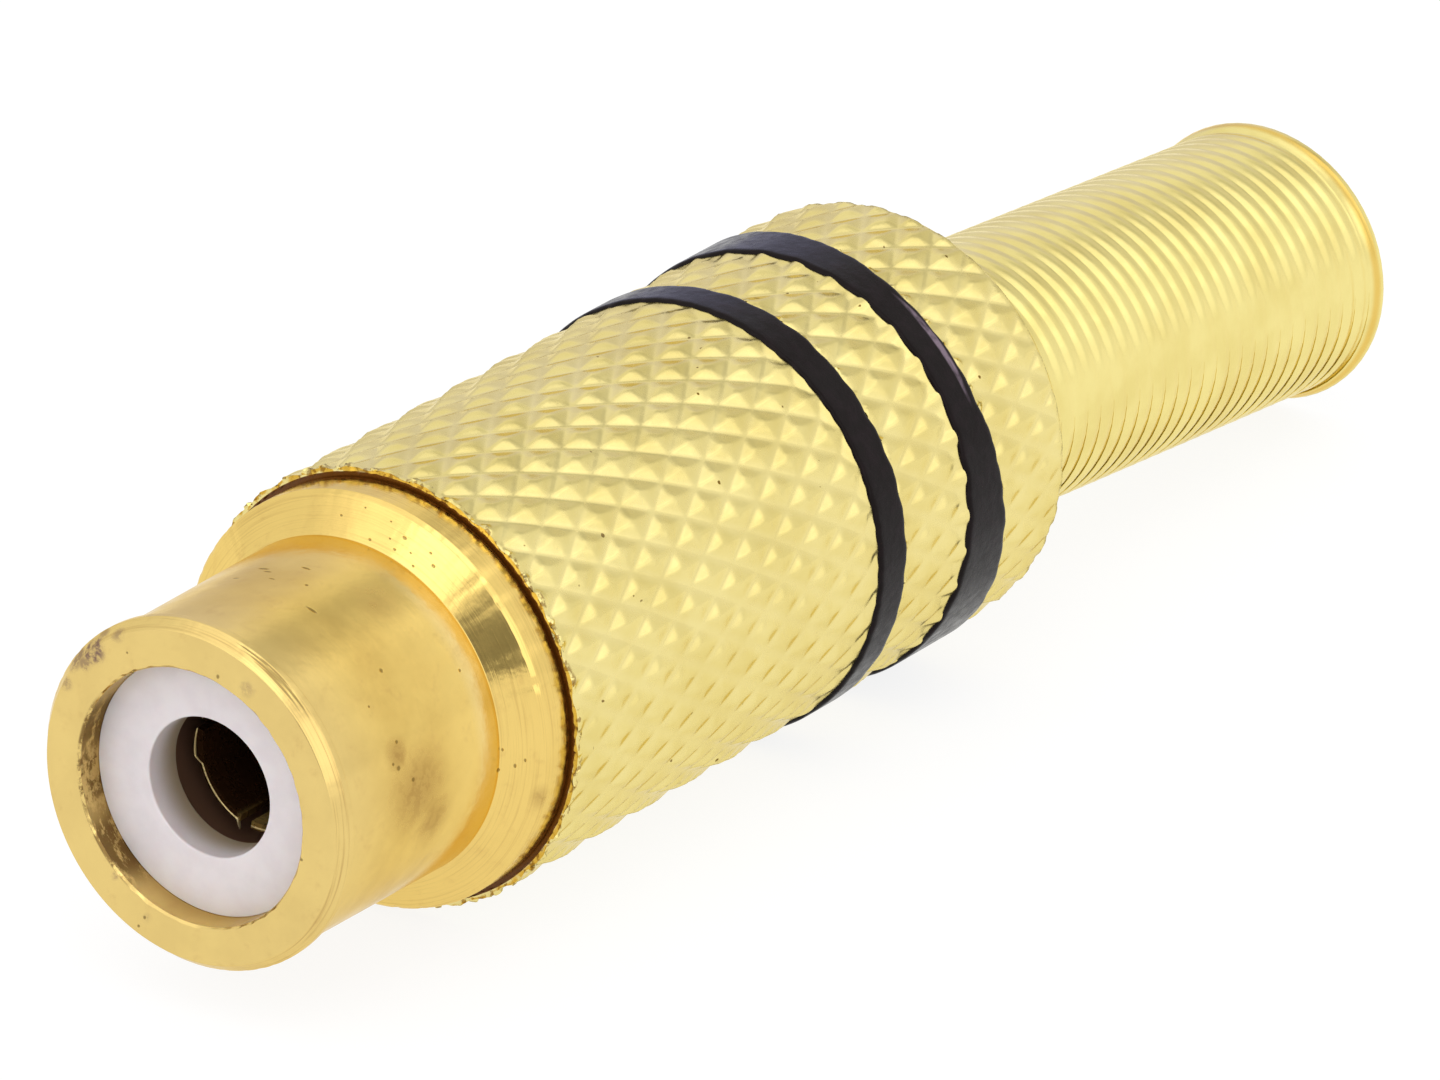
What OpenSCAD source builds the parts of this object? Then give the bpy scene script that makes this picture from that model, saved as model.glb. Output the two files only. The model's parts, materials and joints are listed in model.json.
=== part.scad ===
// Inline coaxial phono jack, gold plated: a turned nose with a white front
// insulator, a knurled screw-on shell with two black rings, and a coil spring
// as strain relief. The axis lies along X: the nose's flat face is at X = 0 and
// faces -X, and the cable leaves towards +X. The jack lies on the black rings of
// its shell, and its spring droops to just over the same surface, with +Z up.

/* [Centre contact] */
// Diameter of the plug's pin
pin_d = 3.2; // [2.6:0.05:3.9]
// Wall of the slotted contact tube
contact_wall = 0.18; // [0.12:0.01:0.3]
// Gap between the front insulator and the contact's mouth
contact_gap = 0.92; // [0.4:0.02:1.4]
// Height of the contact's flange over its tube
flange_rise = 0.3; // [0.2:0.02:0.5]
// Thickness of the contact's flange
flange_t = 0.5; // [0.3:0.05:0.8]
// Thickness of the contact tube's closed end
contact_floor = 0.4; // [0.2:0.05:0.8]
// Length of the slits from the contact's mouth
slit_len = 4.8; // [3:0.1:5.5]
// Width of the slits
slit_w = 0.3; // [0.2:0.02:0.5]
// Turn of the slits round the axis, in degrees
slit_turn = 15; // [0:5:85]
// Diameter of the contact's solder tail
tail_d = 1.9; // [1.4:0.05:2.3]
// Length of the solder tail behind the rear insulator
tail_len = 4.5; // [3:0.1:5.5]
// Depth of the solder cup
cup_depth = 2.6; // [1.5:0.1:2.8]
// Wall of the solder cup
cup_wall = 0.28; // [0.2:0.02:0.4]

/* [Insulators] */
// Depth of the white insulator's face behind the nose's face
disc_depth = 0.72; // [0.3:0.02:1.2]
// Thickness of the white insulator
disc_t = 1.01; // [0.7:0.01:1.5]
// Clearance of the insulator's hole round the pin, on the radius
pin_clearance = 0.05; // [0.03:0.01:0.2]
// Width of the shoulder that the white insulator seats on
disc_seat = 0.44; // [0.2:0.02:0.6]
// Thickness of the rear insulator
rear_disc_t = 1.6; // [1:0.1:2.4]
// Width of the shoulder that the rear insulator seats on
rear_seat = 0.5; // [0.3:0.02:0.7]

/* [Nose] */
// Gap round the contact's flange in the nose's chamber
chamber_gap = 0.52; // [0.3:0.02:0.8]
// Wall of the barrel round the white insulator
barrel_wall = 0.98; // [0.7:0.02:1.3]
// Widening of the barrel from its lip to the collar, on the radius
barrel_widening = 0.06; // [0.02:0.01:0.12]
// Height of the front lip over the barrel
lip_rise = 0.13; // [0.06:0.01:0.2]
// Width of the front lip
lip_w = 0.46; // [0.35:0.02:0.8]
// Bevel of the front lip, along the axis
lip_bevel = 0.3; // [0.1:0.02:0.32]
// Distance from the face to the foot of the collar's flank
barrel_len = 6.05; // [5:0.05:8]
// Length of the collar's sloping flank
flank_len = 0.5; // [0.3:0.05:1]
// Width of the collar's plain band
band_w = 0.95; // [0.6:0.05:1.4]
// Undercut behind the collar
relief_len = 0.4; // [0.2:0.05:0.7]

/* [Thread] */
// Pitch of the fine thread
thread_pitch = 0.75; // [0.5:0.05:1]
// Length of the thread
thread_len = 4.5; // [3.6:0.1:6]
// Height of the thread's crests over the sleeve's seat
thread_rise = 0.6; // [0.4:0.02:0.8]
// Clearance between shell and thread, on the radius
thread_clearance = 0.07; // [0.04:0.01:0.1]
// Wall of the nose's rear rim
rim_wall = 0.65; // [0.45:0.02:0.9]
// Length of the plain seat behind the thread
seat_len = 0.9; // [0.9:0.05:1.4]
// Thickness of the rolled lip that holds the lug
roll_t = 0.4; // [0.3:0.02:0.5]
// Reach of the rolled lip
roll_reach = 0.15; // [0.08:0.01:0.25]

/* [Ground lug] */
// Thickness of the lug's sheet
lug_t = 0.35; // [0.25:0.05:0.5]
// Width of the lug's strip
lug_w = 2.2; // [1.6:0.1:2.6]
// Distance of the lug's strip inside the nose's rolled lip
lug_inset = 1; // [0.8:0.05:1.1]
// Clearance of the lug's ring round the contact's tail
lug_hole_gap = 0.4; // [0.25:0.05:0.8]
// Gap between the cable clamp and the insulating sleeve
clamp_gap = 0.45; // [0.3:0.05:0.7]
// Length of the cable clamp
clamp_len = 3; // [2:0.1:4]
// Half width of the clamp's open top
clamp_open = 1.9; // [1.4:0.1:2.2]
// Distance from the clamp's end to the sleeve's end
clamp_end_gap = 0.4; // [0.2:0.05:1]

/* [Insulating sleeve] */
// Wall of the clear sleeve
sleeve_wall = 0.22; // [0.12:0.02:0.3]
// Gap between the sleeve and the shell's cavity
sleeve_gap = 0.33; // [0.2:0.01:0.5]
// Gap between the sleeve's end and the spring
sleeve_end_gap = 0.6; // [0.3:0.05:1]

/* [Shell] */
// Length of the shell
shell_len = 20.3; // [17:0.1:26]
// Wall of the shell between its thread and the knurl's valleys
shell_wall = 0.71; // [0.5:0.01:0.9]
// Depth of the knurl
knurl_depth = 0.14; // [0.12:0.01:0.25]
// Number of knurl grooves each way
knurl_count = 34; // [24:1:44]
// Pitch of the knurl along the axis
knurl_pitch = 1.652; // [1.2:0.01:2.2]
// Gap between the collar and the shell's front lip
collar_gap = 0.11; // [0.06:0.01:0.2]
// Wall of the front lip under the knurl's valleys
front_lip_wall = 0.04; // [0.04:0.01:0.1]
// Overlap of the front lip over the collar's rear edge
front_overlap = 0.05; // [0.02:0.01:0.15]
// Inside bevel of the front lip
front_lip_bevel = 0.08; // [0.04:0.01:0.08]
// Clearance between the shell's seat and the collar
seat_clearance = 0.02; // [0.02:0.01:0.08]
// Bevel of the knurl's front edge
front_bevel = 0.05; // [0.02:0.01:0.06]
// Bevel of the knurl's rear end, along the axis
rear_bevel_len = 0.8; // [0.4:0.05:1.2]
// Bevel of the knurl's rear end, on the radius
rear_bevel_drop = 0.66; // [0.3:0.02:0.7]
// Length of the neck that holds the spring
neck_len = 2.34; // [1.8:0.05:3]

/* [Black rings] */
// Width of a ring, of the rear one at its narrowest place
ring_w = 1.02; // [0.6:0.02:1.2]
// Depth of a ring's groove under the knurl's tips
ring_t = 0.36; // [0.28:0.02:0.45]
// Height of a ring over the knurl's tips
ring_rise = 0.05; // [0.02:0.01:0.1]
// Distance between the rings
ring_pitch = 3.65; // [2.4:0.05:4.5]
// Distance from the rear ring's narrowest place to the shell's end
ring_to_end = 3.7; // [3.4:0.05:5]
// Slant of the rear ring's back edge, in degrees
ring_slant = 11.5; // [0:0.5:13]
// Turn of its narrowest place from the top, in degrees
slant_turn = 40; // [0:5:90]
// Rounding of a ring's outer edges
ring_round = 0.14; // [0.05:0.01:0.2]

/* [Spring] */
// Diameter of the spring's wire
wire_d = 0.55; // [0.45:0.01:0.7]
// Gap between neighbouring turns
coil_gap = 0.012; // [0.01:0.002:0.05]
// Length of the spring from the neck's inner face to its end
spring_len = 18.7; // [15:0.1:20]
// Turns of the wide anchor coils inside the shell
anchor_turns = 2.5; // [2:0.5:3.5]
// Share of a turn in which the anchor coils narrow to the neck
anchor_narrowing = 0.8; // [0.5:0.1:1]
// Gap between the anchor coils and the cavity
anchor_gap = 0.2; // [0.16:0.01:0.3]
// Gap between the anchor coils and the neck's shoulder
anchor_seat_gap = 0.1; // [0.05:0.01:0.2]
// Shoulder between the anchor coils and the neck
anchor_step = 0.38; // [0.3:0.01:0.5]
// Gap between the spring and the neck
neck_gap = 0.34; // [0.3:0.01:0.45]
// Widening of the end coil
end_flare = 0.2; // [0:0.02:0.2]
// Height of the end coil over the surface that the jack lies on
tip_clearance = 0.05; // [0.03:0.01:0.4]

/* [Hidden] */
$fn = 96;

// Radii, from the pin outwards
pin_r = pin_d / 2;
contact_r = pin_r + contact_wall;
flange_r = contact_r + flange_rise;
chamber_r = flange_r + chamber_gap;
mouth_r = chamber_r + disc_seat;
barrel_r = mouth_r + barrel_wall;
lip_r = barrel_r + lip_rise;
rear_bore_r = chamber_r + rear_seat;
roll_r = rear_bore_r - roll_reach;
sleeve_seat_r = rear_bore_r + rim_wall;
thread_r = sleeve_seat_r + thread_rise;
// a metric thread is 0.61 of its pitch deep
thread_depth = 0.61 * thread_pitch;
shell_bore_r = thread_r + thread_clearance;
valley_r = shell_bore_r + shell_wall;
shell_r = valley_r + knurl_depth;
front_lip_r = valley_r - front_lip_wall;
collar_r = front_lip_r - collar_gap;
sleeve_r = sleeve_seat_r + sleeve_wall;
cavity_r = sleeve_r + sleeve_gap;
groove_r = shell_r - ring_t;
ring_r = shell_r + ring_rise;
tail_r = tail_d / 2;
clamp_r = sleeve_seat_r - clamp_gap - lug_t;

// Places along the axis, from the face backwards
disc_x1 = disc_depth + disc_t;
mouth_x = disc_x1 + contact_gap;
band_x0 = barrel_len + flank_len;
collar_x1 = band_x0 + band_w;
thread_x0 = collar_x1 + relief_len;
thread_x1 = thread_x0 + thread_len;
nose_x1 = thread_x1 + seat_len;
lug_x1 = nose_x1 - roll_t;
lug_x0 = lug_x1 - lug_t;
rear_disc_x0 = lug_x0 - rear_disc_t;
flange_x0 = rear_disc_x0 - flange_t;
tail_x1 = nose_x1 + tail_len - roll_t;
shell_x0 = collar_x1 - front_overlap;
shell_seat_x = collar_x1 + seat_clearance;
shell_x1 = shell_x0 + shell_len;
neck_x0 = shell_x1 - neck_len;
ring2_x0 = shell_x1 - ring_to_end - ring_w;
ring1_x0 = ring2_x0 - ring_pitch;
slant_x1 = ring2_x0 + ring_w + 2 * (shell_r + 1) * tan(ring_slant);

// Spring
coil_pitch = wire_d + coil_gap;
wire_sides = 6;
turn_steps = 20;
// circumradius of the wire's polygon, which has the area of the round wire
wire_poly_r = wire_d / 2 * sqrt(2 * PI / (wire_sides * sin(360 / wire_sides)));
anchor_coil_r = cavity_r - anchor_gap - wire_poly_r;
neck_r = cavity_r - anchor_gap - anchor_step;
coil_r = neck_r - neck_gap - wire_poly_r;
anchor_x1 = neck_x0 - wire_d / 2 - anchor_seat_gap;
anchor_x0 = anchor_x1 - anchor_turns * coil_pitch;
spring_x1 = neck_x0 + spring_len - wire_d / 2;
tip_drop = ring_r - (coil_r + end_flare + wire_poly_r) - tip_clearance;
sleeve_x1 = anchor_x0 - wire_d / 2 - sleeve_end_gap;
lug_end_x = sleeve_x1 - clamp_end_gap;

// A solid of revolution along X, from a list of [radius, x] points
module turned(profile) {
    rotate([0, 90, 0]) rotate_extrude() polygon(profile);
}

// A plain round rod or bore along X
module rod(r, x0, x1) {
    translate([x0, 0, 0]) rotate([0, 90, 0]) cylinder(r = r, h = x1 - x0);
}

module nose_barrel() {
    foot = 0.12;
    foot_r = barrel_r + barrel_widening;
    edge = 0.08;
    bore_edge = 0.05;
    relief_r = thread_r - thread_depth;
    thread_bevel = thread_depth / 2;
    color("gold") turned([
        // outside, from the face to the rear rim
        [mouth_r + bore_edge, 0],
        [lip_r - lip_bevel * 0.73, 0],
        [lip_r, lip_bevel],
        [lip_r, lip_w],
        [barrel_r, lip_w + lip_rise],
        [foot_r, barrel_len - foot],
        [foot_r + foot / 3, barrel_len],
        [collar_r - edge, band_x0 - edge / 2],
        [collar_r, band_x0 + edge],
        [collar_r, collar_x1 - edge],
        [collar_r - edge, collar_x1],
        [relief_r, collar_x1],
        [relief_r, thread_x0],
        [thread_r, thread_x0 + thread_bevel],
        [thread_r, thread_x1 - thread_bevel],
        [thread_r - thread_bevel, thread_x1],
        [sleeve_seat_r, thread_x1],
        [sleeve_seat_r, nose_x1 - edge],
        [sleeve_seat_r - edge, nose_x1],
        // inside, from the rolled lip back to the face
        [roll_r, nose_x1],
        [roll_r, lug_x1],
        [rear_bore_r, lug_x1],
        [rear_bore_r, rear_disc_x0],
        [chamber_r, rear_disc_x0],
        [chamber_r, disc_x1],
        [mouth_r, disc_x1],
        [mouth_r, bore_edge]
    ]);
}

module front_insulator() {
    hole_r = pin_r + pin_clearance;
    edge = 0.04;
    color("whitesmoke") turned([
        [hole_r, disc_depth],
        [mouth_r - edge, disc_depth],
        [mouth_r, disc_depth + edge],
        [mouth_r, disc_x1],
        [hole_r, disc_x1]
    ]);
}

module centre_contact() {
    cup_r = tail_r - cup_wall;
    cup_x0 = tail_x1 - cup_depth;
    color("goldenrod") difference() {
        turned([
            [0, mouth_x],
            [contact_r, mouth_x],
            [contact_r, flange_x0],
            [flange_r, flange_x0],
            [flange_r, rear_disc_x0],
            [tail_r, rear_disc_x0],
            [tail_r, tail_x1],
            [0, tail_x1]
        ]);
        // socket for the pin
        rod(pin_r, mouth_x - 1, flange_x0 - contact_floor);
        // two crossed slits make four spring fingers
        for (turn = [slit_turn, slit_turn + 90])
            rotate([turn, 0, 0])
                translate([mouth_x - 1, -slit_w / 2, -contact_r - 1])
                    cube([slit_len + 1, slit_w, 2 * contact_r + 2]);
        // solder cup, open at its end and along its top
        rod(cup_r, cup_x0, tail_x1 + 1);
        translate([cup_x0, -cup_r, 0]) cube([cup_depth + 1, 2 * cup_r, tail_r + 1]);
    }
}

module rear_insulator() {
    color("saddlebrown") turned([
        [tail_r, rear_disc_x0],
        [rear_bore_r, rear_disc_x0],
        [rear_bore_r, lug_x0],
        [tail_r, lug_x0]
    ]);
}

// The lug's strip in side view: out of the ring, then a step down to the clamp
module lug_strip_outline() {
    strip_top = roll_r - lug_inset;
    step_x = nose_x1 + 0.5;
    step_len = 0.9;
    polygon([
        [lug_x0, -strip_top],
        [step_x + lug_t / 2, -strip_top],
        [step_x + step_len + lug_t / 2, -clamp_r],
        [lug_end_x, -clamp_r],
        [lug_end_x, -clamp_r - lug_t],
        [step_x + step_len - lug_t / 2, -clamp_r - lug_t],
        [step_x - lug_t / 2, -strip_top - lug_t],
        [lug_x0, -strip_top - lug_t]
    ]);
}

module ground_lug() {
    clamp_x0 = lug_end_x - clamp_len;
    color("silver") union() {
        difference() {
            rod(rear_bore_r, lug_x0, lug_x1);
            rod(tail_r + lug_hole_gap, lug_x0 - 1, lug_x1 + 1);
        }
        translate([0, lug_w / 2, 0]) rotate([90, 0, 0])
            linear_extrude(height = lug_w) lug_strip_outline();
        // saddle that the cable's jacket is clamped in
        difference() {
            rod(clamp_r + lug_t, clamp_x0, lug_end_x);
            rod(clamp_r, clamp_x0 - 1, lug_end_x + 1);
            translate([clamp_x0 - 1, -clamp_open, 0])
                cube([clamp_len + 2, 2 * clamp_open, clamp_r + lug_t + 1]);
        }
    }
}

module insulating_sleeve() {
    color("lightcyan") turned([
        [sleeve_seat_r, thread_x1],
        [sleeve_r, thread_x1],
        [sleeve_r, sleeve_x1],
        [sleeve_seat_r, sleeve_x1]
    ]);
}

// A rod with a diamond knurl: tips and valleys alternate round each ring of
// points and from ring to ring, so each square of four points folds along the
// valley that crosses it
module knurled_rod(x0, x1) {
    half_pitch = knurl_pitch / 2;
    around = 2 * knurl_count;
    rows = ceil((x1 - x0) / half_pitch) + 1;
    function corner(row, step) = row * around + step % around;
    function is_tip(row, step) = (row + step) % 2 == 0;
    points = [
        for (row = [0 : rows], step = [0 : around - 1])
            let (
                r = is_tip(row, step) ? shell_r : valley_r,
                turn = 360 * step / around
            ) [x0 + row * half_pitch, r * cos(turn), r * sin(turn)]
    ];
    centre_x0 = len(points);
    sides = [
        for (row = [0 : rows - 1], step = [0 : around - 1])
            let (
                a = corner(row, step),
                b = corner(row + 1, step),
                c = corner(row + 1, step + 1),
                d = corner(row, step + 1)
            ) each is_tip(row, step) ? [[a, b, d], [b, c, d]] : [[a, b, c], [a, c, d]]
    ];
    ends = [
        for (step = [0 : around - 1])
            each [
                [centre_x0, corner(0, step), corner(0, step + 1)],
                [centre_x0 + 1, corner(rows, step + 1), corner(rows, step)]
            ]
    ];
    centres = [[x0, 0, 0], [x0 + rows * half_pitch, 0, 0]];
    polyhedron(points = concat(points, centres), faces = concat(sides, ends));
}

module ring_groove(x0, x1) {
    difference() {
        rod(shell_r + 1, x0, x1);
        rod(groove_r, x0 - 1, x1 + 1);
    }
}

// Everything in front of the rear ring's slanted back edge
module before_slant() {
    rotate([slant_turn, 0, 0])
        translate([ring2_x0 + ring_w, 0, ring_r])
            rotate([0, -ring_slant, 0]) rod(4 * ring_r, -shell_len, 0);
}

module shell() {
    over = 0.3;
    rear_bevel_over = over * rear_bevel_len / rear_bevel_drop;
    thread_end = thread_x1 + 1;
    color("khaki") difference() {
        intersection() {
            knurled_rod(shell_x0 - over, shell_x1 + over);
            turned([
                [0, shell_x0],
                [shell_r - front_bevel, shell_x0],
                [shell_r + over, shell_x0 + front_bevel + over],
                [shell_r + over, shell_x1 - rear_bevel_len - rear_bevel_over],
                [shell_r - rear_bevel_drop, shell_x1],
                [0, shell_x1]
            ]);
        }
        // bore: lip over the collar, thread, cavity and neck
        turned([
            [0, shell_x0 - 1],
            [front_lip_r + front_lip_bevel, shell_x0 - 1],
            [front_lip_r + front_lip_bevel, shell_x0],
            [front_lip_r, shell_seat_x],
            [shell_bore_r, shell_seat_x],
            [shell_bore_r, thread_end],
            [cavity_r, thread_end + shell_bore_r - cavity_r],
            [cavity_r, neck_x0],
            [neck_r, neck_x0],
            [neck_r, shell_x1 + 1],
            [0, shell_x1 + 1]
        ]);
        ring_groove(ring1_x0, ring1_x0 + ring_w);
        intersection() {
            ring_groove(ring2_x0, slant_x1);
            before_slant();
        }
    }
}

module black_ring(x0, x1) {
    steps = [0 : 30 : 90];
    out_r = ring_r - ring_round;
    turned(concat(
        [[groove_r, x1], [groove_r, x0]],
        [for (a = steps) [out_r + ring_round * sin(a), x0 + ring_round * (1 - cos(a))]],
        [for (a = steps) [out_r + ring_round * cos(a), x1 - ring_round * (1 - sin(a))]]
    ));
}

module front_ring() {
    color("black") black_ring(ring1_x0, ring1_x0 + ring_w);
}

module rear_ring() {
    color("black") intersection() {
        black_ring(ring2_x0, slant_x1 + 1);
        before_slant();
    }
}

// The spring's wire is swept along its helix: wide anchor coils, one turn that
// narrows, then close-wound coils that droop towards the end, which flares
module strain_relief_spring() {
    anchor_end = anchor_turns * turn_steps;
    total_turns = anchor_turns + (spring_x1 - anchor_x1) / coil_pitch;
    steps = floor(total_turns * turn_steps);
    function ease(t) = let (s = max(0, min(1, t))) s * s * (3 - 2 * s);
    function helix_x(i) = anchor_x0 + coil_pitch * i / turn_steps;
    function helix_r(i) = anchor_coil_r
        + (coil_r - anchor_coil_r) * ease(1 - (anchor_end - i) / turn_steps / anchor_narrowing)
        + end_flare * ease(1 - (steps - i) / turn_steps / 1.3);
    function axis_z(x) = -tip_drop * max(0, x - neck_x0) / spring_len;
    points = [
        for (i = [0 : steps], side = [0 : wire_sides - 1])
            let (
                turn = 360 * i / turn_steps,
                lean = 360 * side / wire_sides,
                r = helix_r(i) + wire_poly_r * cos(lean),
                x = helix_x(i)
            ) [x + wire_poly_r * sin(lean), r * cos(turn), r * sin(turn) + axis_z(x)]
    ];
    function corner(i, side) = i * wire_sides + side % wire_sides;
    skin = [
        for (i = [0 : steps - 1], side = [0 : wire_sides - 1])
            let (
                a = corner(i, side),
                b = corner(i + 1, side),
                c = corner(i + 1, side + 1),
                d = corner(i, side + 1)
            ) each [[a, d, c], [a, c, b]]
    ];
    start = [for (side = [wire_sides - 1 : -1 : 0]) corner(0, side)];
    finish = [for (side = [0 : wire_sides - 1]) corner(steps, side)];
    color("khaki") polyhedron(points = points, faces = concat(skin, [start, finish]));
}

nose_barrel();
front_insulator();
centre_contact();
rear_insulator();
ground_lug();
insulating_sleeve();
shell();
front_ring();
rear_ring();
strain_relief_spring();
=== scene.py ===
"""Inline phono jack: fine meshes, finishes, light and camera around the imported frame.

Lengths are named in millimetres and turned into metres where a mesh is made. The axis lies
along X, and an angle round it is 0 towards -Y and 90 towards +Z.
"""
import json
import math

import bpy
import numpy as np
from mathutils import Matrix, Vector


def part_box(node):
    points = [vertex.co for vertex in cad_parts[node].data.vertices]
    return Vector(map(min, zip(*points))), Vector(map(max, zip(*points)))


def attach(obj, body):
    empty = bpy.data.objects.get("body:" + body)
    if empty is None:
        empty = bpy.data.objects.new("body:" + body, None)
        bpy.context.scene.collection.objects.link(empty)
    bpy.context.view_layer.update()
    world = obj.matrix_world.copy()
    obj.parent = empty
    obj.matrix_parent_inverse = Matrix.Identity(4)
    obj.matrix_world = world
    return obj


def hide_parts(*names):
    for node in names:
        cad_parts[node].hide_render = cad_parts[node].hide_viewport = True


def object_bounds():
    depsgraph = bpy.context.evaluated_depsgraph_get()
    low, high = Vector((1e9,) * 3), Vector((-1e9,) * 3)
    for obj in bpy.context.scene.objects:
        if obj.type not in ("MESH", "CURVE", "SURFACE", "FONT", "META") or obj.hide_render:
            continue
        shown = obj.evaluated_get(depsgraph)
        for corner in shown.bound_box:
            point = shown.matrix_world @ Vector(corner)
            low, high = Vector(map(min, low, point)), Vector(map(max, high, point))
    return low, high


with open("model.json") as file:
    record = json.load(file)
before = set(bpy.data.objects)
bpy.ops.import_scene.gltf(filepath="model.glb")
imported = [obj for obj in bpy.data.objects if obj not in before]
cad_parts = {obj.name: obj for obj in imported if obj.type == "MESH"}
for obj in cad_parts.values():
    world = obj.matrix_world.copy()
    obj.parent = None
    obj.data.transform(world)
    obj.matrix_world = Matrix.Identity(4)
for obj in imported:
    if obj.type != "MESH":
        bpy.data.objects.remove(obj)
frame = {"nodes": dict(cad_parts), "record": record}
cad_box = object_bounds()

MM = 0.001
TAU = 2 * math.pi


# Sizes, from the frame's boxes and mounts

def box_mm(node):
    low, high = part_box(node)
    return np.array(low) / MM, np.array(high) / MM


mounts = {m["name"]: m for m in frame["record"]["mounts"]}
couplings = {c["joint"]: c for c in frame["record"]["behaviour"]["couplings"]}

nose_high = box_mm("nose_barrel")[1]
shell_low, shell_high = box_mm("shell")
disc_low, disc_high = box_mm("front_insulator")
contact_low = box_mm("centre_contact")[0]
spring_low, spring_high = box_mm("strain_relief_spring")

NOSE_X1 = nose_high[0]
COLLAR_R = nose_high[1]
LIP_R = mounts["outer_sleeve"]["dims"]["r_mm"]
DISC_X0 = disc_low[0]
DISC_X1 = disc_high[0]
DISC_R = disc_high[1]
DISC_HOLE_R = mounts["pin_hole"]["dims"]["r_mm"]
DISC_EDGE = 0.012
CONTACT_X0 = contact_low[0]
SHELL_X0 = shell_low[0]
SHELL_X1 = shell_high[0]
SHELL_R = shell_high[2]
SPRING_X0 = spring_low[0]
SPRING_X1 = spring_high[0]
FLOOR_Z = cad_box[0][2]  # in metres
THREAD_PITCH = couplings["thread_advance"]["ratio"] / MM * TAU

# Nose
BARREL_R = 4.02
BARREL_WIDENING = 0.06
LIP_W = 0.46
LIP_BEVEL = 0.3
BEVEL_SLOPE = 0.73
BARREL_LEN = 6.05
FLANK_LEN = 0.5
COLLAR_X1 = 7.5
RELIEF_X1 = 7.9
THREAD_X1 = 12.4
THREAD_R = 4.35
THREAD_DEPTH = 0.44
THREAD_FLAT = 0.1
THREAD_STEEP = 1.15
THREAD_RUNOUT = 0.4
SEAT_R = 3.75
CHAMBER_R = 2.6
REAR_BORE_R = 3.1
REAR_DISC_X0 = 10.95
ROLL_T = 0.4
ROLL_R = 2.95
NOSE_EDGE = 0.04
MOUTH_BEVEL_X = 0.06
MOUTH_BEVEL_R = 0.05
COLLAR_X0 = BARREL_LEN + FLANK_LEN
# where the front bevel starts and ends, from COLLAR_X0
COLLAR_BEVEL_X = -0.02, 0.08
COLLAR_BEVEL_R = 0.08
COLLAR_BACK_BEVEL_X = 0.06
COLLAR_BACK_BEVEL_R = 0.07
NOSE_END_BEVEL = 0.08
COLLAR_NICK = 0.018
LIP_NICK = 0.006
MOUTH_WAVE = 0.016
NICK_REACH = 0.06
MOUTH_WAVE_REACH = 0.05

# Contact. Its slits are placed in degrees.
SLIT_TURN = 75
SLIT_HALF = 5
TIP_R = 1.7
RIM_R = 0.028
BENT_FINGER = 1
BEND_TURN = 247
LIT_TURN = 261

# Shell
KNURL_COUNT = 34
KNURL_PITCH = 1.652
KNURL_VALLEY = 0.14
KNURL_STEEP = 0.155
KNURL_PEAK = 0.42
KNURL_LAND = 0.125
KNURL_SOFTNESS = 0.006
KNURL_FINE = 7
# of the grooves each way: how round their floors are, and how much shallower they are
GROOVE_ROUND = 0.012, 0.022
GROOVE_RAISED = 0.0, 0.045
# of the lands: spread of their heights, then mean and spread of their tilts
LAND_SPREAD = 0.009
LAND_TILT_X = 0.02, 0.025
LAND_TILT_A = 0.06, 0.03
EDGE_LIFT = 0.09
EDGE_LIFT_LEN = 0.4
# ragged metal in the first rows behind an edge: place, size, and how far it fills the valleys
BURRS = [(0.0, 0.012, 0.03), (0.06, 0.1, 0.05), (0.14, 0.06, 0.03)]
BURR_CAP_RISE = 0.035
BURR_JITTER = 0.4
TIP_MARGIN = 0.003
FIRST_ROW_GAP = 0.04
LAST_ROW_GAP = 0.06
GATHERED_STEP = 0.002
RAGGED = 0.02
RAGGED_EDGE_W = 0.07
FRONT_LIP_R = 5.09
FRONT_LIP_FLARE = -0.01
FRONT_BEVEL = 0.05
SIDE_BEVEL = 0.02
SEAT_CLEARANCE = 0.02
SHELL_BORE_R = 4.42
SHELL_THREAD_X1 = 13.4
SHELL_THREAD_DEPTH = 0.2
THREAD_RELIEF = 0.24
CAVITY_R = 4.3
NECK_R = 3.72
NECK_LEN = 2.34
REAR_BEVEL_LEN = 0.8
REAR_BEVEL_DROP = 0.66
GROOVE_R = 4.91
RING_W = 1.02
RING_ROUND = 0.14
RING_SPILL = 0.06
SPILL_REACH = 0.03
RING_WAVE = 0.004
RING_SINK = 0.012
RING_SLANT = math.radians(11.5)
SLANT_TURN = math.radians(50)

# Spring
WIRE_R = 0.275
COIL_PITCH = 0.562
COIL_R = 3.105
ANCHOR_R = 3.825
ANCHOR_TURNS = 2.5
ANCHOR_NARROWING = 0.8
END_FLARE = 0.2
END_FLARE_TURNS = 1.3
FIRST_COIL_REACH = 0.262
COIL_OVERLAP = 0.002
GROOVE_SHARE = 0.14

# Unevenness round an edge: fewest and most waves, and the seed that draws them
COLLAR_WAVES = 30, 110, 3
LIP_WAVES = 20, 90, 5
MOUTH_WAVES = 9, 60, 11
BURR_WAVES = 25, 110, 21
RAGGED_WAVES = 30, 120, 41
RING_WAVES = {"front_ring": (5, 40, 31), "rear_ring": (5, 40, 32)}

rng = np.random.default_rng(7)


# Mesh helpers

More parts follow.
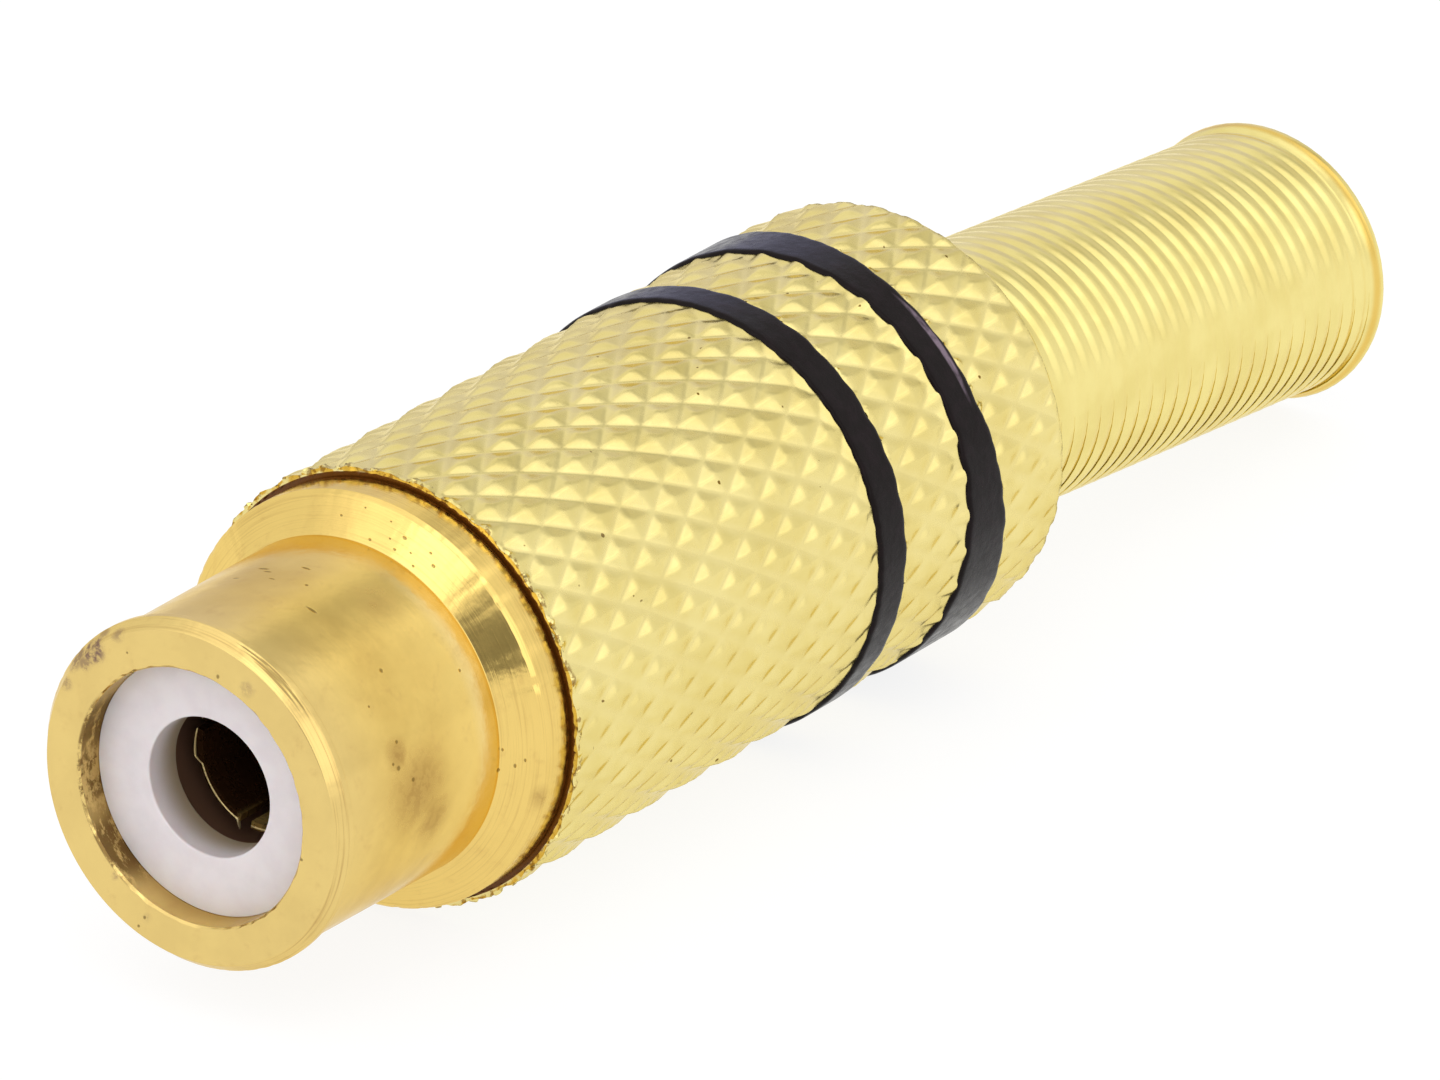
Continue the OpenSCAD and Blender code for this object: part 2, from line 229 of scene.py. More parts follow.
def mesh_object(name, points_mm, faces, sharp_deg):
    """An object from points in millimetres, smooth but for edges sharper than sharp_deg."""
    mesh = bpy.data.meshes.new(name)
    mesh.from_pydata((np.asarray(points_mm, float) * MM).tolist(), [], faces)
    mesh.validate()
    mesh.shade_smooth()
    mesh.set_sharp_from_angle(angle=math.radians(sharp_deg))
    made = bpy.data.objects.new(name, mesh)
    bpy.context.scene.collection.objects.link(made)
    return made


def rounded(corners, steps=4):
    """A closed outline of (x, r) points, where a third number rounds that corner.

    A point on each side of a rounding keeps the long faces beside it flat.
    """
    out = []
    count = len(corners)
    for i, corner in enumerate(corners):
        here = np.array(corner[:2], float)
        if len(corner) < 3:
            out.append(tuple(here))
            continue
        before = np.array(corners[i - 1][:2], float) - here
        after = np.array(corners[(i + 1) % count][:2], float) - here
        reach_before, reach_after = np.linalg.norm(before), np.linalg.norm(after)
        before /= reach_before
        after /= reach_after
        half = math.acos(max(-1, min(1, before @ after))) / 2
        reach = min(corner[2] / math.tan(half), 0.4 * reach_before, 0.4 * reach_after)
        start, end = here + before * reach, here + after * reach
        out.append(tuple(here + before * min(1.6 * reach, 0.48 * reach_before)))
        for k in range(steps + 1):
            t = k / steps
            out.append(tuple((1 - t) ** 2 * start + 2 * t * (1 - t) * here + t * t * end))
        out.append(tuple(here + after * min(1.6 * reach, 0.48 * reach_after)))
    return out


def ring_points(x, r, angles):
    """Points of a circle or of a grid: x and r may be arrays that match the angles."""
    return np.stack(np.broadcast_arrays(x, -r * np.cos(angles), r * np.sin(angles)), -1)


def lathe(name, outline, segments, sharp_deg, shape=None):
    """A closed outline of (x, r) turned round the X axis. shape(x, r, angle) may move x and r."""
    outline = np.array(outline, float)
    angles = np.arange(segments) * TAU / segments
    x = outline[:, :1] + 0 * angles
    r = outline[:, 1:] + 0 * angles
    if shape:
        x, r = shape(x, r, angles + 0 * x)
    points = ring_points(x, r, angles).reshape(-1, 3)
    count = len(outline)
    faces = []
    for i in range(count):
        j = (i + 1) % count
        for k in range(segments):
            m = (k + 1) % segments
            faces.append((i * segments + k, j * segments + k, j * segments + m, i * segments + m))
    return mesh_object(name, points, faces, sharp_deg)


def dense(start, end, step):
    """Points from start to end, both (x, r), no further apart than step."""
    start, end = np.array(start, float), np.array(end, float)
    count = max(1, math.ceil(np.linalg.norm(end - start) / step))
    return [tuple(start + (end - start) * k / count) for k in range(count + 1)]


def sawtooth(u, peak=0.5):
    """0 at each whole number and 1 at the peak's share of the way between."""
    part = u - np.floor(u)
    return np.minimum(part / peak, (1 - part) / (1 - peak))


def ease(t):
    t = np.clip(t, 0, 1)
    return t * t * (3 - 2 * t)


def bell(distance, width):
    """1 at no distance, fading out over the width."""
    return np.exp(-(distance / width) ** 2)


def uneven(angle, fewest, most, seed):
    """A wavy line round the axis, about -1 to 1, from waves between two counts."""
    waves = np.random.default_rng(seed)
    total = 0 * angle
    for count in waves.integers(fewest, most, 9):
        total = total + np.sin(count * angle + waves.uniform(0, TAU)) / 3
    return total


# Nose: lip, barrel, flank, collar, thread, rear rim and bore

def nose_shape(x, r, angle):
    """Cuts the fine thread, and leaves the edges of collar, lip and mouth a little uneven."""
    on_thread = (r > (SEAT_R + THREAD_R) / 2) & (x > RELIEF_X1) & (x < THREAD_X1)
    ends = ease((x - RELIEF_X1) / THREAD_RUNOUT) * ease((THREAD_X1 - x) / THREAD_RUNOUT)
    turn = sawtooth(x / THREAD_PITCH + angle / TAU)
    groove = np.clip(THREAD_STEEP * (1 - turn) - THREAD_FLAT, 0, 1)
    r = np.where(on_thread, r - THREAD_DEPTH * groove * ends, r)
    collar_edge = COLLAR_X0 + sum(COLLAR_BEVEL_X) / 2
    on_collar = bell(x - collar_edge, NICK_REACH) * (r > THREAD_R) * (x < RELIEF_X1)
    r = r - COLLAR_NICK * on_collar * np.clip(uneven(angle, *COLLAR_WAVES), 0, 2)
    on_lip = bell(x - LIP_BEVEL, NICK_REACH) * (r > BARREL_R)
    r = r - LIP_NICK * on_lip * np.clip(uneven(angle, *LIP_WAVES), 0, 2)
    on_mouth = bell(x, MOUTH_WAVE_REACH) * (r < (DISC_R + BARREL_R) / 2)
    r = r + MOUTH_WAVE * on_mouth * np.clip(uneven(angle, *MOUTH_WAVES), -0.6, 2)
    return x, r


def make_nose():
    foot_r = BARREL_R + BARREL_WIDENING
    relief_r = THREAD_R - THREAD_DEPTH
    outline = rounded([
        (0, DISC_R + MOUTH_BEVEL_R, 0.02),
        (0, LIP_R - LIP_BEVEL * BEVEL_SLOPE, 0.05),
        (LIP_BEVEL, LIP_R, NOSE_EDGE),
        (LIP_W, LIP_R, 0.03),
        (LIP_W + LIP_R - BARREL_R, BARREL_R, NOSE_EDGE),
        (BARREL_LEN, foot_r, 0.025),
        (COLLAR_X0 + COLLAR_BEVEL_X[0], COLLAR_R - COLLAR_BEVEL_R, NOSE_EDGE),
        (COLLAR_X0 + COLLAR_BEVEL_X[1], COLLAR_R, NOSE_EDGE),
        (COLLAR_X1 - COLLAR_BACK_BEVEL_X, COLLAR_R, NOSE_EDGE),
        (COLLAR_X1, COLLAR_R - COLLAR_BACK_BEVEL_R, 0.03),
        (COLLAR_X1, relief_r, 0.05),
        (RELIEF_X1, relief_r),
        *dense((RELIEF_X1, THREAD_R), (THREAD_X1, THREAD_R), 0.07),
        (THREAD_X1, SEAT_R),
        (NOSE_X1 - NOSE_END_BEVEL, SEAT_R, NOSE_EDGE),
        (NOSE_X1, SEAT_R - NOSE_END_BEVEL, NOSE_EDGE),
        (NOSE_X1, ROLL_R, 0.08),
        (NOSE_X1 - ROLL_T, ROLL_R),
        (NOSE_X1 - ROLL_T, REAR_BORE_R),
        (REAR_DISC_X0, REAR_BORE_R),
        (REAR_DISC_X0, CHAMBER_R),
        (DISC_X1, CHAMBER_R),
        (DISC_X1, DISC_R),
        (MOUTH_BEVEL_X, DISC_R, 0.02),
    ])
    return lathe("nose", outline, 384, 30, nose_shape)


# Front insulator and the tips of the contact's fingers

def make_insulator():
    return lathe("white_disc", rounded([
        (DISC_X0, DISC_HOLE_R, 0.05),
        (DISC_X0, DISC_R - DISC_EDGE, 0.005),
        (DISC_X0 + DISC_EDGE, DISC_R),
        (DISC_X1, DISC_R),
        (DISC_X1, DISC_HOLE_R, 0.03),
    ]), 192, 35)


def make_contact_tips():
    """The rounded tips of the four fingers: lines of (angle, radius).

    The seam of the rolled tube shows as a step, and one finger ends in a bent corner.
    """
    sides, step_deg = 10, 2.5
    tips = [
        [(SLIT_TURN + SLIT_HALF, TIP_R), (SLIT_TURN + 90 - SLIT_HALF, TIP_R)],
        [(SLIT_TURN + 90 + SLIT_HALF, TIP_R + 0.07), (192, TIP_R + 0.16), (198, TIP_R),
         (212, TIP_R + 0.015), (BEND_TURN + 1, TIP_R + 0.06), (BEND_TURN + 5, TIP_R + 0.25)],
        [(SLIT_TURN + 180 + SLIT_HALF, TIP_R + 0.03), (SLIT_TURN + 270 - SLIT_HALF, TIP_R)],
        [(SLIT_TURN - 90 + SLIT_HALF, TIP_R), (SLIT_TURN - SLIT_HALF, TIP_R)],
    ]
    points, faces = [], []
    for number, tip in enumerate(tips):
        base = len(points)
        line = [place for a, b in zip(tip, tip[1:]) for place in dense(a, b, step_deg)[:-1]]
        line.append(tip[-1])
        last = len(line) - 1
        for i, (angle_deg, middle) in enumerate(line):
            angle = math.radians(angle_deg)
            # the bent corner is the thickest, and both ends of a tip are rounded off
            size = RIM_R * (1.5 if number == BENT_FINGER and angle_deg > BEND_TURN else 1)
            size *= 0.5 if i in (0, last) else 1
            for k in range(sides):
                lean = TAU * k / sides
                r = middle + size * math.cos(lean)
                x = CONTACT_X0 + 0.01 + 1.3 * size * math.sin(lean)
                points.append((x, -r * math.cos(angle), r * math.sin(angle)))
        for i in range(last):
            for k in range(sides):
                m = (k + 1) % sides
                a, b = base + i * sides, base + (i + 1) * sides
                faces.append((a + k, b + k, b + m, a + m))
        faces.append(tuple(base + k for k in range(sides)))
        faces.append(tuple(base + last * sides + k for k in range(sides - 1, -1, -1)))
    return mesh_object("contact_tips", points, faces, 60)


# Shell: diamond knurl outside, thread, cavity and neck inside

CELLS_X = math.ceil((SHELL_X1 - SHELL_X0) / (KNURL_PITCH / 2)) + 3
cell_height, cell_lean_x, cell_lean_a = rng.normal(0, 1, (3, CELLS_X, 2 * KNURL_COUNT))


def knurl_radius(x, angle):
    """Crossed grooves leave four-sided points, cut blunt, each a little different.

    A point is steeper on its front sides, and its land rises towards higher angles, as the
    wheels left it.
    """
    along = 2 * (x - SHELL_X0) / KNURL_PITCH
    around = 2 * angle * KNURL_COUNT / TAU
    row = np.clip(np.round(along).astype(int), 0, CELLS_X - 1)
    column = np.round(around).astype(int)
    ways = ((along + around) / 2, (along - around) / 2)
    point = KNURL_STEEP * np.minimum(*(
        np.sqrt(sawtooth(way, KNURL_PEAK) ** 2 + floor_round) + raised
        for way, floor_round, raised in zip(ways, GROOVE_ROUND, GROOVE_RAISED)
    ))
    cell = row, column % (2 * KNURL_COUNT)
    land = (KNURL_LAND + LAND_SPREAD * cell_height[cell]
            + (LAND_TILT_X[0] + LAND_TILT_X[1] * cell_lean_x[cell]) * (along - row)
            + (LAND_TILT_A[0] + LAND_TILT_A[1] * cell_lean_a[cell]) * (around - column))
    height = -KNURL_SOFTNESS * np.logaddexp(-point / KNURL_SOFTNESS, -land / KNURL_SOFTNESS)
    return SHELL_R - KNURL_VALLEY + np.clip(height, 0, KNURL_VALLEY)


def ring_edges(node, angle):
    """Where a ring starts and ends along the axis. The rear ring's back edge is slanted."""
    low, high = box_mm(node)
    back = low[0] + RING_W + 0 * angle
    if node == "rear_ring":
        back += high[2] * math.tan(RING_SLANT) * (1 - np.cos(angle - SLANT_TURN))
    return low[0], back


def make_shell():
    segments = 2 * KNURL_COUNT * KNURL_FINE
    angles = np.arange(segments) * TAU / segments
    front, rear = ring_edges("front_ring", angles), ring_edges("rear_ring", angles)
    step = KNURL_PITCH / 2 / KNURL_FINE
    rows = []

    def plain(x, r):
        rows.append((x + 0 * angles, r + 0 * angles))

    def knurled(x, cap=SHELL_R, burr=0.0, lift=0.0):
        """One row of the knurl. Burr raises ragged bits of metal, and lift fills the valleys."""
        x = x + 0 * angles
        r = np.minimum(np.maximum(knurl_radius(x, angles), SHELL_R - KNURL_VALLEY + lift), cap)
        bits = uneven(angles, *BURR_WAVES) + 0.15 * rng.normal(0, 1, segments) - 0.1
        bits = np.clip(bits, 0, 1.3)
        jitter = burr * BURR_JITTER * rng.normal(0, 1, segments) * (bits > 0)
        rows.append((x + jitter, np.minimum(r + burr * bits, SHELL_R - TIP_MARGIN)))

    spans = [(SHELL_X0, front[0]), (front[1], rear[0]), (rear[1], SHELL_X1)]
    burrs_end = BURRS[-1][0]
    for number, (x0, x1) in enumerate(spans):
        first = math.ceil((np.min(x0) + burrs_end + FIRST_ROW_GAP - SHELL_X0) / step)
        last = math.floor((x1 - LAST_ROW_GAP - SHELL_X0) / step)
        edge_cap = SHELL_R - (FRONT_BEVEL if number == 0 else SIDE_BEVEL)
        caps = edge_cap, edge_cap + BURR_CAP_RISE, SHELL_R
        for (behind, burr, lift), cap in zip(BURRS, caps):
            knurled(x0 + behind, cap, burr, lift)
        for row in range(first, last + 2):
            # rows in front of a slanted edge are gathered just behind it
            gathered = x0 + burrs_end + GATHERED_STEP * (row - first + 1)
            x = np.maximum(SHELL_X0 + row * step, gathered) if row <= last else x1
            into = x - (SHELL_X1 - REAR_BEVEL_LEN)
            lift = EDGE_LIFT * ease(1 - (x1 - x) / EDGE_LIFT_LEN) if number < 2 else 0
            knurled(x, SHELL_R - REAR_BEVEL_DROP * np.maximum(0, into / REAR_BEVEL_LEN), lift=lift)
        if number < 2:
            plain(x1, GROOVE_R)
            plain(spans[number + 1][0], GROOVE_R)
    knurl_last = len(rows) - 1
    seat_x = COLLAR_X1 + SEAT_CLEARANCE
    thread_out_r = SHELL_BORE_R + THREAD_RELIEF
    bore = rounded([
        (SHELL_X1, SHELL_R - REAR_BEVEL_DROP),
        (SHELL_X1, NECK_R, 0.08),
        (SHELL_X1 - NECK_LEN, NECK_R, 0.08),
        (SHELL_X1 - NECK_LEN, CAVITY_R),
        (SHELL_THREAD_X1 + SHELL_BORE_R - CAVITY_R, CAVITY_R),
        (SHELL_THREAD_X1, SHELL_BORE_R),
        (SHELL_THREAD_X1, thread_out_r),
        (seat_x, thread_out_r),
        (seat_x, FRONT_LIP_R),
        (SHELL_X0, FRONT_LIP_R + FRONT_LIP_FLARE),
    ])
    for x, r in bore[1:-1]:
        plain(x, r)
    # the front edge is ragged inside too
    mouth = np.clip(uneven(angles, *RAGGED_WAVES) + 0.2 * rng.normal(0, 1, segments), -1, 1.3)
    mouth_x, mouth_r = SHELL_X0 + RAGGED, bore[-1][1]
    rows.append((mouth_x + RAGGED * mouth, mouth_r + RAGGED * np.roll(mouth, 5)))
    rows.append((mouth_x - RAGGED * np.roll(mouth, 2), mouth_r + RAGGED_EDGE_W + RAGGED * mouth))
    x = np.array([row[0] for row in rows])
    r = np.array([row[1] for row in rows])
    points = ring_points(x, r, angles).reshape(-1, 3)
    faces = []
    count = len(rows)
    for i in range(count):
        j = (i + 1) % count
        for k in range(segments):
            m = (k + 1) % segments
            a, b, c, d = i * segments + k, j * segments + k, j * segments + m, i * segments + m
            if i >= knurl_last:
                faces.append((a, b, c, d))
            elif r[i, k] + r[j, m] <= r[j, k] + r[i, m]:
                faces += [(a, b, c), (a, c, d)]
            else:
                faces += [(a, b, d), (b, c, d)]
    return mesh_object("knurled_shell", points, faces, 60)


def make_shell_thread():
    """The shell's inner thread, a band of its own in the bore."""
    seat_x = COLLAR_X1 + SEAT_CLEARANCE
    out_r = SHELL_BORE_R + THREAD_RELIEF - 0.01

    def cut(x, r, angle):
        turn = sawtooth(x / THREAD_PITCH + angle / TAU)
        ends = ease((x - seat_x) / THREAD_RUNOUT) * ease((SHELL_THREAD_X1 - x) / THREAD_RUNOUT)
        return x, np.where(r < SHELL_BORE_R + 0.1, r + SHELL_THREAD_DEPTH * ends * turn, r)

    outline = dense((SHELL_THREAD_X1, SHELL_BORE_R), (seat_x, SHELL_BORE_R), 0.09)
    outline += [(seat_x, out_r), (SHELL_THREAD_X1, out_r)]
    return lathe("shell_thread", outline, 256, 40, cut)


# Black rings

def make_ring(node, name):
    low, high = box_mm(node)
    x0, x1, out_r = low[0], low[0] + RING_W, high[2]

    def wavy(x, r, angle):
        """The lacquer stands a little unevenly in its groove, and runs into the knurl's grooves."""
        back = ring_edges(node, angle)[1]
        wave = RING_WAVE * uneven(angle, *RING_WAVES[node])
        outside = r > GROOVE_R + 0.1

        def spill(at):
            return RING_SPILL * (SHELL_R - knurl_radius(at + 0 * angle, angle)) / KNURL_VALLEY

        x = np.where(x > (x0 + x1) / 2,
                     x + back - x1 + (3 * wave + spill(back + SPILL_REACH)) * outside,
                     x - (2 * wave + spill(x0 - SPILL_REACH)) * outside)
        return x, np.where(outside, np.minimum(r - RING_SINK + wave, out_r), r)

    return lathe(name, rounded([
        (x0, GROOVE_R),
        (x0, out_r, RING_ROUND),
        (x1, out_r, RING_ROUND),
        (x1, GROOVE_R),
    ], 6), 2 * KNURL_COUNT * KNURL_FINE, 40, wavy)


# Spring: wire swept along its helix, its coils drawn and plated close

def make_spring():
    """The wire is flattened outside, where plating fills the grooves, and round in its end coil."""
    steps, sides = 64, 24
    neck_x0 = SHELL_X1 - NECK_LEN
    anchor_x0 = SPRING_X0 + FIRST_COIL_REACH
    end_x = SPRING_X1 - WIRE_R
    total = (end_x - anchor_x0) / COIL_PITCH
    turn = np.arange(0, math.floor(total * steps) + 1) / steps
    x = anchor_x0 + COIL_PITCH * turn

    def coil_r(at):
        into_neck = ease(1 - (ANCHOR_TURNS - at) / ANCHOR_NARROWING)
        into_end = ease(1 - (turn[-1] - at) / END_FLARE_TURNS)
        return ANCHOR_R + (COIL_R - ANCHOR_R) * into_neck + END_FLARE * into_end

    drop_end = spring_low[2] - FLOOR_Z / MM
    tip_drop = -FLOOR_Z / MM - (COIL_R + END_FLARE + WIRE_R) - drop_end
    sink = -tip_drop * np.clip(x - neck_x0, 0, None) / (end_x + WIRE_R - neck_x0)
    angle = turn * TAU
    lean = np.arange(sides) * TAU / sides
    side, out = np.sin(lean), np.cos(lean)
    outer = 1 - GROOVE_SHARE * (1 - np.cos(math.pi * side)) / 2
    inner = (1 - GROOVE_SHARE) - (2 - GROOVE_SHARE) * (1 - np.abs(side))
    last = ease(turn - turn[-1] + 1)[:, None] * (side > 0)
    bare = np.maximum((turn < ANCHOR_TURNS)[:, None], last)
    out = out * bare + np.where(out > -1e-6, outer, inner) * (1 - bare)
    rr = coil_r(turn[:, None] + 0.5 * side * (1 - bare)) + WIRE_R * out
    width = WIRE_R * bare + (COIL_PITCH / 2 + COIL_OVERLAP) * (1 - bare)
    points = np.stack([
        x[:, None] + width * side,
        rr * np.cos(angle)[:, None],
        rr * np.sin(angle)[:, None] + sink[:, None],
    ], -1).reshape(-1, 3)
    faces = []
    for i in range(len(turn) - 1):
        for k in range(sides):
            m = (k + 1) % sides
            faces.append((i * sides + k, (i + 1) * sides + k, (i + 1) * sides + m, i * sides + m))
    end = (len(turn) - 1) * sides
    faces.append(tuple(range(sides)))
    faces.append(tuple(range(end + sides - 1, end - 1, -1)))
    return mesh_object("spring", points, faces, 50)


# Materials

def linear(red, green, blue):
    """Display colour, 0 to 255, as linear light."""
    def one(value):
        share = value / 255
        return share / 12.92 if share <= 0.04045 else ((share + 0.055) / 1.055) ** 2.4
    return tuple(one(v) for v in (red, green, blue))


class Nodes:
    """Short names for building a node tree."""

    def __init__(self, tree):
        self.tree = tree

    def add(self, kind, **settings):
        node = self.tree.nodes.new(kind)
        for key, value in settings.items():
            setattr(node, key, value)
        return node

    def link(self, source, target):
        self.tree.links.new(source, target)

    def put(self, socket, value):
        if isinstance(value, bpy.types.NodeSocket):
            self.link(value, socket)
        else:
            socket.default_value = value

    def math(self, operation, a, b=0.0, c=0.0):
        node = self.add("ShaderNodeMath", operation=operation)
        for socket, value in zip(node.inputs, (a, b, c)):
            self.put(socket, value)
        return node.outputs[0]

    def times(self, first, *others):
        """The product of two values or more."""
        for other in others:
            first = self.math("MULTIPLY", first, other)
        return first

    def greatest(self, values):
        first = values[0]
        for other in values[1:]:
            first = self.math("MAXIMUM", first, other)
        return first

    def place(self):
        """The point's place in the object, in millimetres."""
        coordinates = self.add("ShaderNodeTexCoord")
        scaled = self.add("ShaderNodeVectorMath", operation="SCALE")
        self.link(coordinates.outputs["Object"], scaled.inputs[0])
        scaled.inputs["Scale"].default_value = 1 / MM
        return scaled.outputs[0]

    def split(self, vector):
        node = self.add("ShaderNodeSeparateXYZ")
        self.link(vector, node.inputs[0])
        return node.outputs[0], node.outputs[1], node.outputs[2]

    def join(self, x, y):
        node = self.add("ShaderNodeCombineXYZ")
        for socket, value in zip(node.inputs, (x, y)):
            self.put(socket, value)
        return node.outputs[0]

    def stretch(self, vector, x, y, z):
        node = self.add("ShaderNodeVectorMath", operation="MULTIPLY")
        self.link(vector, node.inputs[0])
        node.inputs[1].default_value = (x, y, z)
        return node.outputs[0]

    def round_axis(self, place):
        """Place along the axis, radius, and angle in radians."""
        x, y, z = self.split(place)
        radius = self.math("SQRT", self.math("MULTIPLY_ADD", y, y, self.times(z, z)))
        return x, radius, self.math("ARCTAN2", z, self.times(y, -1.0))

    def heading(self, angle):
        """An angle as a direction, which has no seam."""
        return self.join(self.math("COSINE", angle), self.math("SINE", angle))

    def noise(self, vector, scale, detail, roughness=0.55):
        node = self.add("ShaderNodeTexNoise")
        self.link(vector, node.inputs["Vector"])
        node.inputs["Scale"].default_value = scale
        node.inputs["Detail"].default_value = detail
        node.inputs["Roughness"].default_value = roughness
        return node.outputs[0]

    def between(self, value, low, high, out_low=0.0, out_high=1.0):
        """Goes smoothly from one number to the other while the value goes from low to high."""
        node = self.add("ShaderNodeMapRange", interpolation_type="SMOOTHSTEP")
        self.put(node.inputs["Value"], value)
        ends = {"From Min": low, "From Max": high, "To Min": out_low, "To Max": out_high}
        for name, number in ends.items():
            node.inputs[name].default_value = number
        return node.outputs[0]

    def within(self, value, low, full_from, full_to, high):
        """1 from full_from to full_to, falling to 0 at low and high."""
        rise = self.between(value, low, full_from)
        return self.times(rise, self.between(value, full_to, high, 1, 0))

    def mix(self, share, a, b):
        node = self.add("ShaderNodeMix", data_type="RGBA")
        self.put(node.inputs["Factor"], share)
        for socket, value in ((node.inputs[6], a), (node.inputs[7], b)):
            self.put(socket, value if isinstance(value, bpy.types.NodeSocket) else (*value, 1))
        return node.outputs[2]

    def clouded(self, place, scale, detail, first, second):
        """Two close colours in soft clouds."""
        return self.mix(self.between(self.noise(place, scale, detail), 0.35, 0.7), first, second)

    def patched(self, place, scale, detail, low, high, top=0.7):
        """A roughness that varies softly from low to high."""
        return self.between(self.noise(place, scale, detail), 0.3, top, low, high)

    def near(self, vector, spot, reach, soft):
        """1 close to a spot, fading out over the soft share of its reach."""
        node = self.add("ShaderNodeVectorMath", operation="DISTANCE")
        self.link(vector, node.inputs[0])
        node.inputs[1].default_value = spot
        return self.between(node.outputs["Value"], reach * (1 - soft), reach, 1.0, 0.0)

    def toward(self, direction, centre, inner_deg, outer_deg):
        """1 where a direction is within inner_deg of a centre, and 0 beyond outer_deg."""
        node = self.add("ShaderNodeVectorMath", operation="DOT_PRODUCT")
        self.link(direction, node.inputs[0])
        node.inputs[1].default_value = Vector(centre).normalized()
        outer, inner = (math.cos(math.radians(deg)) for deg in (outer_deg, inner_deg))
        return self.between(node.outputs["Value"], outer, inner)

    def bump(self, height, distance_mm, strength=1.0, after=None):
        node = self.add("ShaderNodeBump")
        node.inputs["Distance"].default_value = distance_mm * MM
        node.inputs["Strength"].default_value = strength
        self.link(height, node.inputs["Height"])
        if after:
            self.link(after, node.inputs["Normal"])
        return node.outputs[0]


class Finish(Nodes):
    """A material's nodes, around its shader."""

    def __init__(self, name):
        self.material = bpy.data.materials.new(name)
        self.material.use_nodes = True
        super().__init__(self.material.node_tree)
        self.shader = self.tree.nodes["Principled BSDF"]

    def finish(self, color, roughness, metallic, normal, tint=None, **constants):
        """Sets the shader and gives its material."""
        inputs = self.shader.inputs
        self.link(color, inputs["Base Color"])
        self.put(inputs["Roughness"], roughness)
        self.put(inputs["Metallic"], metallic)
        self.link(normal, inputs["Normal"])
        if tint:
            inputs["Specular Tint"].default_value = (*tint, 1)
        for name, value in constants.items():
            inputs[name.replace("_", " ")].default_value = value
        return self.material


def heading(turn_deg):
    """An angle round the axis as a direction, which has no seam."""
    turn = math.radians(turn_deg)
    return math.cos(turn), math.sin(turn), 0


def round_mm(turn_deg):
    """How far round the barrel an angle lies, in millimetres either way."""
    return math.radians((turn_deg + 180) % 360 - 180) * BARREL_R


# Colours. A pair is mixed in soft clouds, and a tint is a metal's colour at a grazing view.
# Painted light and shade among them: the barrel's paler foot, the chamber's, gap's, spring seam's,
# hole's and contact's shade, and the knurl's paler valleys.
NOSE_GOLD = linear(230, 197, 112), linear(218, 184, 102)
NOSE_GOLD_FRONT = linear(232, 208, 142)
NOSE_GOLD_BACK = linear(240, 208, 122)
NOSE_FOOT_PAINTED_LIGHT = linear(246, 228, 172)
NOSE_TINT = linear(248, 238, 208)
BRONZE = linear(186, 140, 84)
CHAMBER_PAINTED_SHADE = linear(150, 116, 96)
BROWN = linear(134, 86, 44)
VIOLET_BROWN = linear(116, 88, 92)
RIM_BROWN = linear(92, 58, 26)
STREAK_BROWN = linear(150, 104, 52)
GAP_PAINTED_SHADE = linear(104, 58, 14)
SPECK = linear(96, 74, 30)
SHELL_GOLD = linear(238, 221, 147), linear(231, 212, 134)
SHELL_VALLEY_PAINTED_LIGHT = linear(250, 240, 190)
SHELL_GOLD_INSIDE = linear(190, 150, 78)
SHELL_TINT = linear(246, 238, 205)
GRAIN = linear(130, 100, 40)
FRONT_EDGE_BROWN = linear(126, 82, 28)
SPRING_GOLD = linear(242, 226, 148), linear(235, 217, 137)
SPRING_SEAM_PAINTED_SHADE = linear(226, 178, 62)
SPRING_TINT = linear(252, 246, 222)
LACQUER = linear(17, 9, 8), linear(24, 14, 16)
RUBBED = linear(140, 122, 136)
POLYMER = linear(222, 215, 217), linear(216, 208, 211)
POLYMER_HOLE_SHADE = linear(166, 148, 124)
TIP_GOLD = linear(252, 236, 190), linear(240, 216, 150)
CONTACT_GOLD = linear(214, 180, 104), linear(190, 152, 82)
CONTACT_PAINTED_SHADE = linear(84, 54, 30)
PHENOLIC = linear(120, 74, 38), linear(146, 96, 54)
TIN = linear(214, 214, 210), linear(196, 196, 194)
CLEAR = linear(236, 240, 242), linear(226, 232, 236)

# Places along the nose's outline, as radius plus x. It runs out of the recess (radius minus x
# there) over the face, the lip's bevel, the barrel, the flank and the collar.
BEVEL_AT = 3.93
BEVEL_END_AT = 4.45
FOOT_AT = 10.13
FLANK_END_AT = 11.6
FACE_R = 3.05

